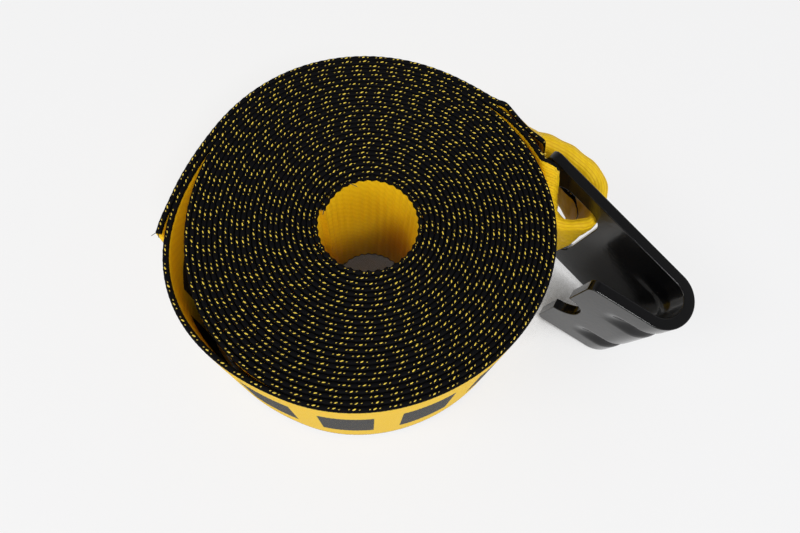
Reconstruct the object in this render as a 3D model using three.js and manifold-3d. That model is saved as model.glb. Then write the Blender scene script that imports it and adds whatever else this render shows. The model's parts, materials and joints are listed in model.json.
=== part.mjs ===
// Winch strap: flat polyester webbing wound into a roll that stands on the web's edge,
// with a flat steel hook in the sewn eye at its outer end. Millimetres, +Z up.
// The roll's axis is upright. The web leaves the roll at the back right, passes inside the
// hook's bar, up through the slot, round the bar and back over itself as a sewn overlap.
import * as THREE from 'three';
import { mergeVertices } from 'three/addons/utils/BufferGeometryUtils.js';
import Module from 'manifold-3d';

const wasm = await Module();
wasm.setup();

// Webbing
const webWidth = 101.6;
const webThickness = 2.45;

// Roll: outside radius is that of the last full wrap where it starts
const rollRadius = 82;
const boreRadius = 20.5;
const wrapStart = 40;             // degrees, counter-clockwise from +X
const wrapTuck = 20;              // degrees of the last wrap that lie under its own end
const edgeGroove = 0.8;           // depth of the groove between two turns on the roll's ends
const edgeGrooveWidth = 0.9;
const bodyInset = 0.96;           // the wound body's outside lies this far inside the last wrap
const wrapSink = 0.6;             // the last wrap reaches this far into the wound body
const rollSegments = 36;
const wrapStep = 5;               // degrees between two sections of a wrap

// Slack bight of the last wrap on the left, in degrees clockwise from wrapStart
const slackFrom = 146;
const slackTo = 246;
const slackGap = 6.9;

// Where the web leaves the roll for the hook, and where the sewn overlap ends
const leaveFrom = 333;
const leaveTo = 362;
const leaveGap = 2;
const overlapFrom = 343;
const overlapTo = 207;
const overlapSink = 0.3;          // the overlap is sewn down onto the web below it

// Hook: a flat plate folded back on itself
const plateThickness = 5.6;
const plateHeight = 77;
const barWidth = 13;
const slotWidth = 29.2;
const slotHeight = 56;
const slotCorner = 9;
const shankLength = 43.2;         // from the slot to the bend
const bendInnerRadius = 9.8;
const tipLength = 32.7;           // straight part after the bend
const tipOpening = 15.1;          // degrees between the tip and the plate
const plateCorner = 4;
const notchWidth = 23;
const notchDepth = 10.5;
const notchFlat = 2;              // flat between the round corners of the notch
const ribSpacing = 39;
const ribRadius = 5;
const ribDepth = 1.8;
const ribRunOut = 13;             // length of a rib past the bend on each side

// How the hook lies beside the roll
const hookYaw = -38.75;           // degrees, direction of the plate seen from above
const hookDroop = 7;              // degrees, the bend lies on the floor and the bar is lifted
const hookGap = 14;               // from the roll to the plate's outer face
const barOffset = 21;             // from the foot of the roll's normal to the plate's free end

// Eye: the web is folded to about half its width, so it is two layers thick at the bar
const eyeReach = 17.4;            // half length of the eye's turn, along the plate
const eyeHalfWidth = 15;          // half width of the eye, across the plate
const eyeSeatGap = 0.5;           // the eye's turn rests in the slot's far round corners
const eyeEdgeClearance = 4;       // to the slot's ends
const eyeSteps = 14;
const innerPull = 0.4;            // how far the ends of a leg run straight, of its span
const outerPull = 0.62;
const landingPull = 0.25;
const foldStart = 0.3;            // share of the inner leg after which the web folds
const unfoldStart = 0.35;         // shares of the outer leg between which it unfolds
const unfoldEnd = 0.78;
const leanUntil = 0.5;            // a web folded more than this leans as the plate does

const degrees = Math.PI / 180;
const droop = hookDroop * degrees;
const yaw = hookYaw * degrees;
const opening = tipOpening * degrees;
const cutMargin = 1;

// Hook frame: u along the plate, w out of its outer face, v up along the bar
const bendOuterRadius = bendInnerRadius + plateThickness;
const slotStart = barOffset + barWidth;
const slotEnd = slotStart + slotWidth;
const bendStart = slotEnd + shankLength;
const middleHeight = plateHeight / 2;
const barCentre = new THREE.Vector2(barOffset + barWidth / 2, -plateThickness / 2);
const hookReach = Math.hypot(bendStart - barCentre.x, bendOuterRadius + barCentre.y) + bendOuterRadius;
const hookLift = (barCentre.x + hookReach) * Math.sin(droop);
const alongPlate = new THREE.Vector2(Math.cos(yaw), Math.sin(yaw));
const outOfPlate = new THREE.Vector2(-Math.sin(yaw), Math.cos(yaw));
const hookFoot = outOfPlate.clone().multiplyScalar(rollRadius + hookGap);

// Outline of the wound web

function flatness(angle) {
  // The roll is not quite round: how far its outside stands off a circle
  const a = angle * degrees;
  return 0.9 * Math.sin(2 * a) + 1.05 * Math.cos(3 * a) + 0.13 * Math.sin(3 * a);
}

function slack(turned) {
  if (turned <= slackFrom || turned >= slackTo) return 0;
  const share = (turned - slackFrom) / (slackTo - slackFrom);
  return slackGap * Math.sin(Math.PI * share) ** 2;
}

function smooth(share) {
  const s = THREE.MathUtils.clamp(share, 0, 1);
  return s * s * (3 - 2 * s);
}

function wrapRadius(turned) {
  // Outside radius of the last wrap, which grows by one thickness a turn
  const angle = wrapStart - turned;
  const leaving = leaveGap * smooth((turned - leaveFrom) / (leaveTo - leaveFrom));
  return rollRadius + flatness(angle) + webThickness * turned / 360 + slack(turned) + leaving;
}

function onRoll(turned, radius) {
  const angle = (wrapStart - turned) * degrees;
  return new THREE.Vector2(radius * Math.cos(angle), radius * Math.sin(angle));
}

function onHook(u, w) {
  // Point of the hook's frame at the middle of the bar, seen from above
  const along = u * Math.cos(droop) + middleHeight * Math.sin(droop);
  return hookFoot.clone().addScaledVector(alongPlate, along).addScaledVector(outOfPlate, w);
}

function hookCoordinate(point) {
  const along = point.clone().sub(hookFoot).dot(alongPlate);
  return (along - middleHeight * Math.sin(droop)) / Math.cos(droop);
}

// Closed meshes and solids

function loft(rings) {
  // Closed tube through rings of equal count, each counter-clockwise about the way it goes
  const count = rings[0].length;
  const positions = [];
  rings.flat().forEach((p) => positions.push(p.x, p.y, p.z));
  const indices = [];
  for (let i = 0; i < rings.length - 1; i += 1) {
    for (let j = 0; j < count; j += 1) {
      const a = i * count + j;
      const b = i * count + (j + 1) % count;
      indices.push(a, b, b + count, a, b + count, a + count);
    }
  }
  const last = (rings.length - 1) * count;
  for (let j = 1; j < count - 1; j += 1) {
    indices.push(0, j + 1, j);
    indices.push(last, last + j, last + j + 1);
  }
  const geometry = new THREE.BufferGeometry();
  geometry.setAttribute('position', new THREE.Float32BufferAttribute(positions, 3));
  geometry.setIndex(indices);
  return geometry;
}

function solid(geometry) {
  const bare = geometry.clone();
  bare.deleteAttribute('normal');
  bare.deleteAttribute('uv');
  const merged = mergeVertices(bare, 1e-4);
  return new wasm.Manifold(new wasm.Mesh({
    numProp: 3,
    vertProperties: new Float32Array(merged.attributes.position.array),
    triVerts: new Uint32Array(merged.index.array),
  }));
}

function toGeometry(body) {
  const mesh = body.getMesh();
  const geometry = new THREE.BufferGeometry();
  geometry.setAttribute('position', new THREE.BufferAttribute(mesh.vertProperties, 3));
  geometry.setIndex(new THREE.BufferAttribute(mesh.triVerts, 1));
  geometry.computeVertexNormals();
  return geometry;
}

// Webbing

function band(stations) {
  // Upright web along a path. Each station has its point, its reach to the left and the
  // right of the path, and how far it has taken the hook's tilt and folded width
  const foldedLow = middleHeight - slotHeight / 2 + eyeEdgeClearance;
  const foldedHigh = middleHeight + slotHeight / 2 - eyeEdgeClearance;
  const rings = stations.map((station, i) => {
    const before = stations[Math.max(i - 1, 0)].point;
    const after = stations[Math.min(i + 1, stations.length - 1)].point;
    const way = after.clone().sub(before).normalize();
    const left = new THREE.Vector2(-way.y, way.x);
    const u = hookCoordinate(station.point);
    const lean = Math.min(1, station.tilt / leanUntil) * Math.tan(droop);
    const middleLevel = hookLift + middleHeight * Math.cos(droop) - u * Math.sin(droop);
    const corner = (side, flatHeight, foldedHeight) => {
      const folded = middleLevel + (foldedHeight - middleHeight) * Math.cos(droop);
      const level = THREE.MathUtils.lerp(flatHeight, folded, station.tilt);
      const p = station.point.clone().addScaledVector(left, side);
      p.addScaledVector(alongPlate, lean * (level - middleLevel));
      return new THREE.Vector3(p.x, p.y, level);
    };
    return [
      corner(-station.right, 0, foldedLow),
      corner(station.left, 0, foldedLow),
      corner(station.left, webWidth, foldedHigh),
      corner(-station.right, webWidth, foldedHigh),
    ];
  });
  return solid(loft(rings));
}

function woundBody() {
  // Turned profile with one groove between each two turns on both ends, then pulled onto
  // the roll's real outline
  const outside = rollRadius - bodyInset;
  const turns = Math.round((outside - boreRadius) / webThickness);
  const pitch = (outside - boreRadius) / turns;
  const profile = [new THREE.Vector2(boreRadius, 0)];
  for (let i = 1; i < turns; i += 1) {
    const r = boreRadius + i * pitch;
    profile.push(new THREE.Vector2(r - edgeGrooveWidth / 2, 0));
    profile.push(new THREE.Vector2(r, edgeGroove));
    profile.push(new THREE.Vector2(r + edgeGrooveWidth / 2, 0));
  }
  profile.push(new THREE.Vector2(outside, 0));
  profile.push(new THREE.Vector2(outside, webWidth - edgeGroove));
  for (let i = turns; i > 0; i -= 1) {
    const r = boreRadius + i * pitch;
    profile.push(new THREE.Vector2(r - pitch / 2, webWidth));
    profile.push(new THREE.Vector2(r - pitch, webWidth - edgeGroove));
  }
  profile.push(profile[0].clone());
  const lathe = new THREE.LatheGeometry(profile, rollSegments);
  lathe.rotateX(Math.PI / 2);
  const position = lathe.attributes.position;
  for (let i = 0; i < position.count; i += 1) {
    const x = position.getX(i);
    const y = position.getY(i);
    const radius = Math.hypot(x, y);
    const share = (radius - boreRadius) / (outside - boreRadius);
    const pull = 1 + share * flatness(Math.atan2(y, x) / degrees) / radius;
    position.setXY(i, x * pull, y * pull);
  }
  return solid(lathe);
}

function lastWrap() {
  const stations = [];
  const half = webThickness / 2;
  for (let turned = -wrapTuck; turned < leaveTo; turned += wrapStep) {
    const sink = wrapSink * (1 - slack(turned) / slackGap) * (turned < leaveFrom ? 1 : 0);
    stations.push({
      point: onRoll(turned, wrapRadius(turned) - half),
      left: half,
      right: half + sink,
      tilt: 0,
    });
  }
  return stations;
}

function overlap() {
  const stations = [];
  const half = webThickness / 2;
  for (let turned = overlapFrom; turned >= overlapTo; turned -= wrapStep) {
    stations.push({
      point: onRoll(turned, wrapRadius(turned) + half),
      left: half + overlapSink,
      right: half,
      tilt: 0,
    });
  }
  return stations;
}

function eyeTurn() {
  // Half an oval through the slot, from inside the plate to its outer side
  const half = webThickness;
  const cornerInset = slotCorner - Math.sqrt(slotCorner ** 2 - (slotCorner - eyeEdgeClearance) ** 2);
  const centreU = slotEnd - cornerInset - eyeSeatGap - half - eyeReach;
  const centreW = barCentre.y;
  const stations = [];
  for (let i = 0; i <= eyeSteps; i += 1) {
    const a = (i / eyeSteps - 0.5) * Math.PI;
    const u = centreU + eyeReach * Math.cos(a);
    const w = centreW + eyeHalfWidth * Math.sin(a);
    stations.push({ point: onHook(u, w), left: half, right: half, tilt: 1 });
  }
  return stations;
}

function leg(from, to, tiltAt) {
  // Web between two places of the path, folded by what tiltAt says for each share of it
  const span = from.point.distanceTo(to.point);
  const start = from.point.clone().addScaledVector(from.way, from.pull * span);
  const finish = to.point.clone().addScaledVector(to.way, -to.pull * span);
  const curve = new THREE.CubicBezierCurve(from.point, start, finish, to.point);
  const stations = [];
  for (let i = 1; i < eyeSteps; i += 1) {
    const share = i / eyeSteps;
    const tilt = tiltAt(share);
    const half = webThickness * (1 + tilt) / 2;
    stations.push({ point: curve.getPoint(share), left: half, right: half, tilt });
  }
  return stations;
}

function endWay(stations, i, j) {
  return stations[j].point.clone().sub(stations[i].point).normalize();
}

function strapSolid() {
  const wrap = lastWrap();
  const turn = eyeTurn();
  const tail = overlap();
  const last = wrap.length - 1;
  const leaving = { point: wrap[last].point, way: endWay(wrap, last - 1, last), pull: innerPull };
  const intoSlot = { point: turn[0].point, way: alongPlate, pull: innerPull };
  const outOfSlot = { point: turn[eyeSteps].point, way: alongPlate.clone().negate(), pull: outerPull };
  const landing = { point: tail[0].point, way: endWay(tail, 0, 1), pull: landingPull };
  const unfolding = unfoldEnd - unfoldStart;
  const inner = leg(leaving, intoSlot, (share) => smooth((share - foldStart) / (1 - foldStart)));
  const outer = leg(outOfSlot, landing, (share) => 1 - smooth((share - unfoldStart) / unfolding));
  const half = Math.round(eyeSteps / 2);
  const firstBand = band([...wrap, ...inner, ...turn.slice(0, half + 1)]);
  const secondBand = band([...turn.slice(half - 1), ...outer, ...tail]);
  return woundBody().add(firstBand).add(secondBand);
}

// Hook

function foldedPlate(thickness) {
  // Section of the folded plate, seen along the bar, drawn from its free end
  const outer = bendOuterRadius;
  const inner = outer - thickness;
  const end = -Math.PI / 2 + opening;
  const tip = tipFrame();
  const section = new THREE.Shape();
  section.moveTo(barOffset, 0);
  section.lineTo(bendStart, 0);
  section.absarc(bendStart, -outer, outer, Math.PI / 2, end, true);
  section.lineTo(tip.end.x, tip.end.y);
  section.lineTo(tip.end.x + tip.inward.x * thickness, tip.end.y + tip.inward.y * thickness);
  section.absarc(bendStart, -outer, inner, end, Math.PI / 2, false);
  section.lineTo(barOffset, -thickness);
  section.closePath();
  const extruded = new THREE.ExtrudeGeometry(section, {
    depth: plateHeight,
    bevelEnabled: false,
    curveSegments: 18,
  });
  return solid(extruded);
}

function tipFrame() {
  // The tip's outer face: its two ends, and the way into the throat
  const inward = new THREE.Vector2(-Math.sin(opening), Math.cos(opening));
  const back = new THREE.Vector2(-Math.cos(opening), -Math.sin(opening));
  const bend = new THREE.Vector2(bendStart, -bendOuterRadius);
  const start = bend.clone().addScaledVector(inward, -bendOuterRadius);
  const end = start.clone().addScaledVector(back, tipLength);
  return { start, end, inward, back };
}

function throughPlate(shape) {
  // Cutter for a flat plate whose outer face is w = 0, drawn in u and v
  const cutter = new THREE.ExtrudeGeometry(shape, {
    depth: plateThickness + 2 * cutMargin,
    bevelEnabled: false,
    curveSegments: 8,
  });
  cutter.rotateX(Math.PI / 2);
  cutter.translate(0, cutMargin, 0);
  return cutter;
}

function onTip(cutter) {
  // A cutter drawn with u from the tip's end towards the bend, moved onto the tip
  const tip = tipFrame();
  cutter.translate(0, plateThickness, 0);
  cutter.rotateZ(opening);
  cutter.translate(tip.end.x, tip.end.y, 0);
  return cutter;
}

function roundedSlot(x, y, width, height, corner) {
  const shape = new THREE.Shape();
  shape.moveTo(x + corner, y);
  shape.absarc(x + width - corner, y + corner, corner, -Math.PI / 2, 0, false);
  shape.absarc(x + width - corner, y + height - corner, corner, 0, Math.PI / 2, false);
  shape.absarc(x + corner, y + height - corner, corner, Math.PI / 2, Math.PI, false);
  shape.absarc(x + corner, y + corner, corner, Math.PI, Math.PI * 1.5, false);
  shape.closePath();
  return shape;
}

function cornerWaste(x, y, upward) {
  // What is ground off a square corner at (x, y) of the plate's outline
  const r = plateCorner;
  const shape = new THREE.Shape();
  shape.moveTo(x - cutMargin, y - upward * cutMargin);
  shape.lineTo(x + r, y - upward * cutMargin);
  shape.lineTo(x + r, y);
  const from = -upward * Math.PI / 2;
  shape.absarc(x + r, y + upward * r, r, from, Math.PI, upward > 0);
  shape.lineTo(x - cutMargin, y + upward * r);
  shape.closePath();
  return shape;
}

function ribRod(height, radius) {
  // Rod along the outside of the bend: sunk by the rib's depth on the bend itself, and
  // rising out of the plate at both ends
  const tip = tipFrame();
  const path = [];
  const add = (x, y, nx, ny, depth) => {
    const off = ribRadius - depth;
    path.push({ point: new THREE.Vector2(x + nx * off, y + ny * off), nx, ny });
  };
  const steps = 4;
  for (let i = 0; i <= steps; i += 1) {
    const along = ribRunOut * (1 - i / steps);
    add(bendStart - along, 0, 0, 1, ribDepth * smooth(i / steps));
  }
  const arcSteps = 12;
  for (let i = 1; i < arcSteps; i += 1) {
    const a = Math.PI / 2 - i / arcSteps * (Math.PI - opening);
    const x = bendStart + bendOuterRadius * Math.cos(a);
    const y = -bendOuterRadius + bendOuterRadius * Math.sin(a);
    add(x, y, Math.cos(a), Math.sin(a), ribDepth);
  }
  for (let i = steps; i >= 0; i -= 1) {
    const p = tip.start.clone().addScaledVector(tip.back, ribRunOut * (1 - i / steps));
    add(p.x, p.y, -tip.inward.x, -tip.inward.y, ribDepth * smooth(i / steps));
  }
  const sides = 12;
  const rings = path.map(({ point, nx, ny }) => {
    const ring = [];
    for (let j = 0; j < sides; j += 1) {
      const a = j / sides * 2 * Math.PI;
      const out = radius * Math.cos(a);
      ring.push(new THREE.Vector3(point.x + nx * out, point.y + ny * out, height + radius * Math.sin(a)));
    }
    return ring;
  });
  return solid(loft(rings));
}

function hookSolid() {
  const slotLow = middleHeight - slotHeight / 2;
  const slot = throughPlate(roundedSlot(slotStart, slotLow, slotWidth, slotHeight, slotCorner));
  const notchRound = (notchWidth - notchFlat) / 2;
  const notchLow = middleHeight - notchWidth / 2;
  const notchLength = notchDepth + notchRound * 2;
  const notch = roundedSlot(notchDepth - notchLength, notchLow, notchLength, notchWidth, notchRound);
  let hook = foldedPlate(plateThickness);
  for (const height of [middleHeight - ribSpacing / 2, middleHeight + ribSpacing / 2]) {
    const swelling = foldedPlate(plateThickness + ribDepth);
    hook = hook.add(swelling.intersect(ribRod(height, ribRadius + plateThickness)));
    hook = hook.subtract(ribRod(height, ribRadius));
  }
  hook = hook.subtract(solid(slot)).subtract(solid(onTip(throughPlate(notch))));
  for (const [level, upward] of [[0, 1], [plateHeight, -1]]) {
    hook = hook.subtract(solid(throughPlate(cornerWaste(barOffset, level, upward))));
    hook = hook.subtract(solid(onTip(throughPlate(cornerWaste(0, level, upward)))));
  }
  return hook;
}

// Assembly

const webbing = new THREE.MeshStandardMaterial({ color: 0xf2b20a, roughness: 0.75, metalness: 0 });
const blackPaint = new THREE.MeshStandardMaterial({ color: 0x121214, roughness: 0.25, metalness: 0.3 });

const strap = new THREE.Mesh(toGeometry(strapSolid()), webbing);
strap.name = 'webbing_strap';

const hook = new THREE.Mesh(toGeometry(hookSolid()), blackPaint);
hook.name = 'flat_hook';
hook.position.set(hookFoot.x, hookFoot.y, hookLift);
hook.rotation.set(0, droop, yaw, 'ZYX');

const winchStrap = new THREE.Group();
winchStrap.add(strap, hook);
winchStrap.updateMatrixWorld(true);
const extent = new THREE.Box3().setFromObject(winchStrap, true);
const middle = extent.getCenter(new THREE.Vector3());
winchStrap.position.set(-middle.x, -middle.y, -extent.min.z);

export default winchStrap;
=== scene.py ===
# %% [markdown]
# A wound winch strap, dressed for a close look.
# The strap is one length of flat woven webbing, yellow with black edges, wound into a roll
# that stands on its edge. Its outer end goes through the slot of a flat steel hook, folds
# back over itself and is sewn down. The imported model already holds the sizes, so everything
# here is built in metres around it and moves with its bodies.

# %% Load the frame
import json
import math

import bmesh
import bpy
import numpy as np
from mathutils import Matrix, Vector


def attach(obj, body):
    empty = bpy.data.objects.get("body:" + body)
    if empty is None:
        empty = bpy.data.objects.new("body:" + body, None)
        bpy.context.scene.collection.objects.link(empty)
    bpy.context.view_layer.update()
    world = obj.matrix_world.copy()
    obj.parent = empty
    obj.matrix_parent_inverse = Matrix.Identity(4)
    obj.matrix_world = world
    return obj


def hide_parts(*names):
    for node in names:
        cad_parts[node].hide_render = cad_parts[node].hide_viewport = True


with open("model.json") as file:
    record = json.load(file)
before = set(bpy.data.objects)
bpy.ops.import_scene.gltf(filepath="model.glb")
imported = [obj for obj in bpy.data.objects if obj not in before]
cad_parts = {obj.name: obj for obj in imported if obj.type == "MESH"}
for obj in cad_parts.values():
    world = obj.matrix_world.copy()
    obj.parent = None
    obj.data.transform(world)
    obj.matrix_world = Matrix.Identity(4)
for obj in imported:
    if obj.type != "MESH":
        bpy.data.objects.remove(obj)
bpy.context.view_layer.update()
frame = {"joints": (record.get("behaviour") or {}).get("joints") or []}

# %% [markdown]
# The camera stands where the photographer stood: a little to the right of the roll, high
# above it and tipped over to one side. A look-at constraint would lose that tip, so the
# camera's three directions are written out as a matrix.

# %% Camera
scene = bpy.context.scene
scene.view_settings.view_transform = "Standard"
camera_place = Vector((-0.01706, -0.11552, 0.38194))
camera_dip = math.radians(71.22)
camera_lean = math.radians(7.41)
camera_lens = 30.94
camera_sensor = 36.0


def camera_matrix(place, dip, lean):
    """The camera's place and its right, up and back directions."""
    right = Vector((1, 0, 0))
    up = Vector((0, math.sin(dip), math.cos(dip)))
    back = Vector((0, -math.cos(dip), math.sin(dip)))
    turned_right = right * math.cos(lean) + up * math.sin(lean)
    turned_up = up * math.cos(lean) - right * math.sin(lean)
    columns = (turned_right, turned_up, back)
    rotation = Matrix([[c[i] for c in columns] for i in range(3)])
    return Matrix.Translation(place) @ rotation.to_4x4()


camera_data = bpy.data.cameras.new("camera")
camera_data.lens = camera_lens
camera_data.sensor_width = camera_sensor
camera_data.clip_start = 0.01
camera = bpy.data.objects.new("camera", camera_data)
camera.matrix_world = camera_matrix(camera_place, camera_dip, camera_lean)
scene.collection.objects.link(camera)
scene.camera = camera
print("camera is", round(camera_place.z, 3), "m above the floor")

# %% [markdown]
# Three small helpers serve every step below. One makes a mesh object from points and faces,
# one adds a node to a node tree with its settings, and one builds a chain of math nodes from
# numbers or sockets, which keeps the formulas readable.

# %% Helpers for meshes and node trees
MM = 0.001


def mesh_object(name, points, faces, edges=()):
    """A new object at the origin whose mesh holds these points and faces."""
    mesh = bpy.data.meshes.new(name)
    mesh.from_pydata([tuple(p) for p in points], list(edges), list(faces))
    mesh.validate()
    built = bpy.data.objects.new(name, mesh)
    scene.collection.objects.link(built)
    return built


def feed(tree, socket, value):
    """Links a socket to the input, or writes a plain value there."""
    if isinstance(value, bpy.types.NodeSocket):
        tree.links.new(value, socket)
    else:
        socket.default_value = value


def add_node(tree, kind, feeds=None, **settings):
    """A new node of that kind with its settings, and with its named inputs fed."""
    node = tree.nodes.new(kind)
    for name, value in settings.items():
        setattr(node, name, value)
    for name, value in (feeds or {}).items():
        feed(tree, node.inputs[name], value)
    return node


def math_node(tree, operation, *values):
    """One math node, fed with numbers or sockets. Gives its result."""
    feeds = dict(enumerate(values))
    return add_node(tree, "ShaderNodeMath", feeds, operation=operation).outputs[0]


def carry(built, label, values):
    """Gives the points of a mesh a measure that Geometry Nodes can read."""
    values = np.asarray(values, np.float32)
    kind, key = ("FLOAT", "value") if values.ndim == 1 else ("FLOAT_VECTOR", "vector")
    attribute = built.data.attributes.new(label, kind, "POINT")
    attribute.data.foreach_set(key, values.ravel())


def set_input(modifier, name, value):
    """Sets a Geometry Nodes input of a modifier by its socket's identifier."""
    for item in modifier.node_group.interface.items_tree:
        if item.item_type == "SOCKET" and item.in_out == "INPUT" and item.name == name:
            modifier[item.identifier] = value
            return
    raise ValueError(name)


def plain_mesh(source, name):
    """The evaluated object as a plain mesh object without modifiers. The source is removed."""
    bpy.context.view_layer.update()
    graph = bpy.context.evaluated_depsgraph_get()
    mesh = bpy.data.meshes.new_from_object(source.evaluated_get(graph), depsgraph=graph)
    mesh.name = name
    built = bpy.data.objects.new(name, mesh)
    scene.collection.objects.link(built)
    bpy.data.objects.remove(source)
    built.name = name
    mesh.calc_loop_triangles()
    print(name, len(mesh.vertices), "points", len(mesh.loop_triangles), "triangles")
    return built


# %% [markdown]
# The webbing's sizes and the hook's place repeat the model's own values, in millimetres, and
# are turned into metres at the end. The roll's axis is worked out from the hook's joint: the
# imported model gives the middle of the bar, and the sizes give the bar from the roll's axis.

# %% Sizes of the strap and the hook
web_width = 101.6
web_thickness = 2.45
roll_radius = 82.0
bore_radius = 20.5
wrap_start = 40.0
slack_from, slack_to, slack_gap = 146.0, 246.0, 6.9
leave_from, leave_to, leave_gap = 333.0, 362.0, 2.0
overlap_from, overlap_to = 343.0, 207.0

plate_thickness = 5.6
plate_height = 77.0
bar_width = 13.0
slot_width = 29.2
slot_corner = 9.0
shank_length = 43.2
bend_inner = 9.8

hook_yaw = math.radians(-38.75)
hook_droop = math.radians(7.0)
hook_gap = 14.0
bar_offset = 21.0

bend_outer = bend_inner + plate_thickness
slot_start = bar_offset + bar_width
slot_end = slot_start + slot_width
bend_start = slot_end + shank_length
middle_height = plate_height / 2
bar_u = bar_offset + bar_width / 2
bar_w = -plate_thickness / 2
hook_reach = math.hypot(bend_start - bar_u, bend_outer + bar_w) + bend_outer
hook_lift = (bar_u + hook_reach) * math.sin(hook_droop)
along_plate = np.array((math.cos(hook_yaw), math.sin(hook_yaw)))
out_of_plate = np.array((-math.sin(hook_yaw), math.cos(hook_yaw)))
hook_foot = out_of_plate * (roll_radius + hook_gap)


def hook_point(u, w, v):
    """A point of the hook, from the roll's axis: u along the plate, w out of it, v up."""
    along = u * math.cos(hook_droop) + v * math.sin(hook_droop)
    flat = hook_foot + along * along_plate + w * out_of_plate
    up = hook_lift + v * math.cos(hook_droop) - u * math.sin(hook_droop)
    return np.array((flat[0], flat[1], up))


hook_joint = frame["joints"][0]
roll_axis = np.array(hook_joint["pos_m"]) / MM - hook_point(bar_u, bar_w, middle_height)
print("roll's axis at", [round(float(x), 3) for x in roll_axis], "mm")


def to_row(points):
    """Points from the roll's axis, in millimetres, as metres of the row frame."""
    return (np.asarray(points, float) + roll_axis) * MM


# %% [markdown]
# The webbing follows one spiral from the bore to the hook. Its outside is not quite round,
# and on the left the last turn has come loose. One formula gives the radius at any amount of
# turning, so the turns, the loose bight and the sewn overlap all agree. The place along the
# webbing drives the weave, so the path is measured and cut into equal steps.

# %% Path of the wound webbing
wound_turns = 24
inner_end = 170.0
inner_turned = wrap_start - inner_end - 360.0 * wound_turns
wound_pitch = (roll_radius - bore_radius - web_thickness) / -inner_turned * 360.0
rib_pitch = 4.15
pick_pitch = rib_pitch / 2
step_length = rib_pitch / 4
oval, lobes, lobe_twist = 0.9, 1.05, 0.13


def smooth(share):
    """Runs from 0 to 1 and starts and stops gently."""
    s = np.clip(share, 0.0, 1.0)
    return s * s * (3 - 2 * s)


def flatness(angle):
    """How far the roll's outside stands off a circle."""
    a = np.radians(angle)
    return oval * np.sin(2 * a) + lobes * np.cos(3 * a) + lobe_twist * np.sin(3 * a)


def slack(turned):
    """How far the last turn stands loose on the left."""
    share = np.clip((turned - slack_from) / (slack_to - slack_from), 0.0, 1.0)
    return slack_gap * np.sin(math.pi * share) ** 2


def wrap_radius(turned):
    """Outside radius of the webbing after turning this far clockwise from where it starts."""
    turned = np.asarray(turned, float)
    angle = wrap_start - turned
    pitch = np.where(turned < 0, wound_pitch, web_thickness)
    base = roll_radius + pitch * turned / 360.0
    share = np.clip((base - bore_radius) / (roll_radius - bore_radius), 0.0, 1.0)
    leaving = leave_gap * smooth((turned - leave_from) / (leave_to - leave_from))
    return base + share * flatness(angle) + slack(turned) + leaving


def on_roll(turned, radius):
    """Place on the roll, seen from above, after turning this far."""
    a = np.radians(wrap_start - np.asarray(turned, float))
    return np.stack([radius * np.cos(a), radius * np.sin(a)], -1)


def lengths_along(points):
    """Distance travelled at each point of a path."""
    steps = np.linalg.norm(np.diff(points, axis=0), axis=1)
    return np.concatenate([[0.0], np.cumsum(steps)])


def resampled(along, lengths, points):
    """The path's points at other distances along it."""
    return np.stack([np.interp(along, lengths, points[:, i]) for i in (0, 1)], -1)


fine_turned = np.arange(inner_turned, 0.001, 0.5)
fine_path = on_roll(fine_turned, wrap_radius(fine_turned) - web_thickness / 2)
fine_length = lengths_along(fine_path)
wound_length = fine_length[-1]
steps = int(wound_length / step_length)
wound_along = np.linspace(0.0, wound_length, steps + 1)
wound_path = resampled(wound_along, fine_length, fine_path)
print("wound webbing is", round(wound_length / 1000, 2), "m long in", steps, "steps")

# %% [markdown]
# No two turns of a hand-wound roll lie exactly level, and each edge is gathered into small
# humps where the weft turns back. Both are sums of a few waves in the distance along the
# webbing, so the humps of neighbouring turns fall where they fall, as on the real roll.

# %% Humps and wander of the webbing's edges
hump_height = 0.16
wander_height = 0.32
wander_waves = ((61.0, 1.0, 1.0), (23.7, 2.1, 1.0), (9.1, 1.0, 0.7))
top_phase, bottom_phase = 0.4, 1.9
plain_swell, tight_swell = 0.05, 0.30
tight_until, tight_fade = 120.0, 60.0


def edge_wander(along, phase):
    """Slow rise and fall of an edge, from 0 to 1."""
    waves, highest = 0.0, 0.0
    for scale, times, share in wander_waves:
        waves = waves + share * np.sin(along / scale + times * phase)
        highest += share
    return np.clip(0.5 + 0.5 * waves / highest, 0.0, 1.0)


def ribs_along(along):
    """The weft's ribs, as a wave from -1 to 1."""
    return np.cos(2 * math.pi * along / rib_pitch)


def top_rise(along):
    return hump_height * ribs_along(along) - wander_height * edge_wander(along, top_phase)


def bottom_rise(along):
    humps = hump_height * (1 + ribs_along(along)) / 2
    return humps + wander_height * edge_wander(along, bottom_phase)


def face_swell(along):
    """Ribs of the faces, deeper on the first turn, where the web is bent tightest."""
    tight = 1 - smooth((along - tight_until) / tight_fade)
    return (plain_swell + tight_swell * tight) * ribs_along(along)


print("edges wander over", wander_height, "mm")

# %% [markdown]
# The turns are one closed band swept along the spiral. Geometry Nodes do it: the path is a
# line of points that carries its own measures, a rounded upright oblong is swept along it,
# and its two edges are lifted by the measures. A screw modifier could wind a spiral too, but
# it would repeat every turn exactly.

# %% Geometry Nodes tree that sweeps the webbing


def geometry_tree(name, inputs):
    """An empty Geometry Nodes tree with a geometry in and out and the named inputs."""
    tree = bpy.data.node_groups.new(name, "GeometryNodeTree")
    tree.interface.new_socket("Geometry", in_out="INPUT", socket_type="NodeSocketGeometry")
    for label, kind in inputs:
        tree.interface.new_socket(label, in_out="INPUT", socket_type=kind)
    tree.interface.new_socket("Geometry", in_out="OUTPUT", socket_type="NodeSocketGeometry")
    entry = tree.nodes.new("NodeGroupInput")
    result = tree.nodes.new("NodeGroupOutput")
    return tree, entry, result


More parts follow.
